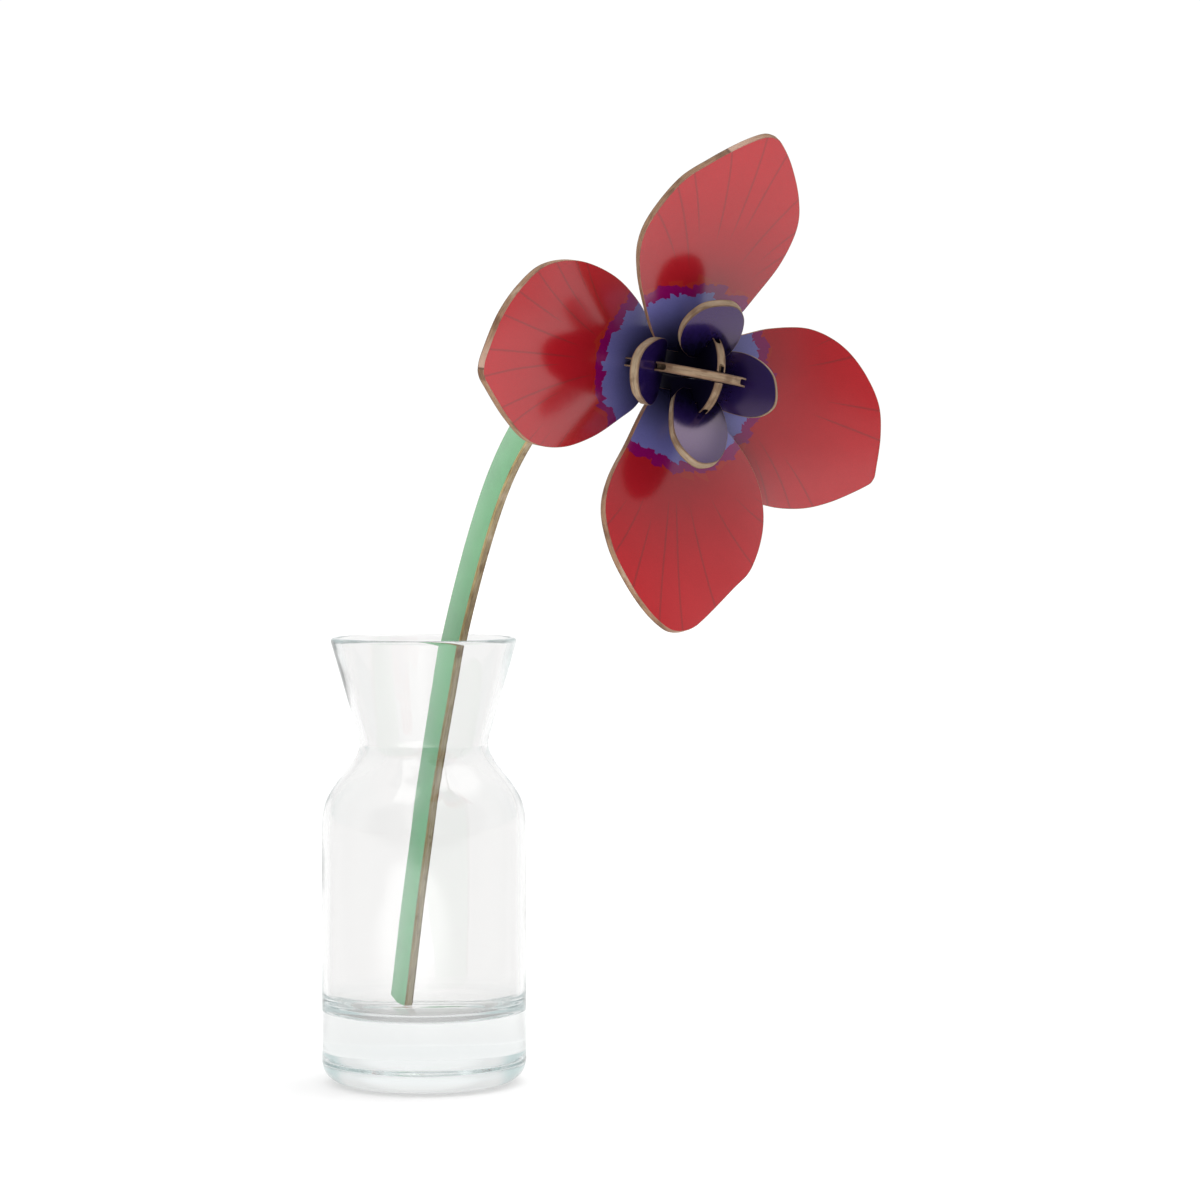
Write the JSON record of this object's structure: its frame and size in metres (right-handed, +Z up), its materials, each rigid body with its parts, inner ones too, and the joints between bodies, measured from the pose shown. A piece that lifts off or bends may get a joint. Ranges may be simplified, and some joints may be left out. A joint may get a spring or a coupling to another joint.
{
  "type": "slotted board anemone flower in glass carafe",
  "caption": "Slot-together anemone of printed board on a curved stem, standing in a clear glass carafe with a flared mouth.",
  "frame": {"origin": "centre of the carafe's underside, on the surface that it stands on", "axes": "+Z up, +X to the right and +Y away from a viewer in front, towards whom the flower head faces"},
  "size_m": [0.1897, 0.1736, 0.3198],
  "materials": {
    "glass": "clear, polished, with a faint green-blue tint in the thick base",
    "petal_print": "satin printed board, red with a violet-blue root, brown cut edges",
    "centre_print": "satin printed board, deep indigo, brown cut edges",
    "stem_print": "satin printed board, light green, brown cut edges"
  },
  "bodies": {
    "root": {"vase": "glass", "stem": "stem_print", "cross_rib": "centre_print", "petal_top": "petal_print", "petal_left": "petal_print", "petal_bottom": "petal_print", "petal_right": "petal_print", "inner_petal_top": "centre_print", "inner_petal_left": "centre_print", "inner_petal_bottom": "centre_print", "inner_petal_right": "centre_print"}
  },
  "joints": []
}
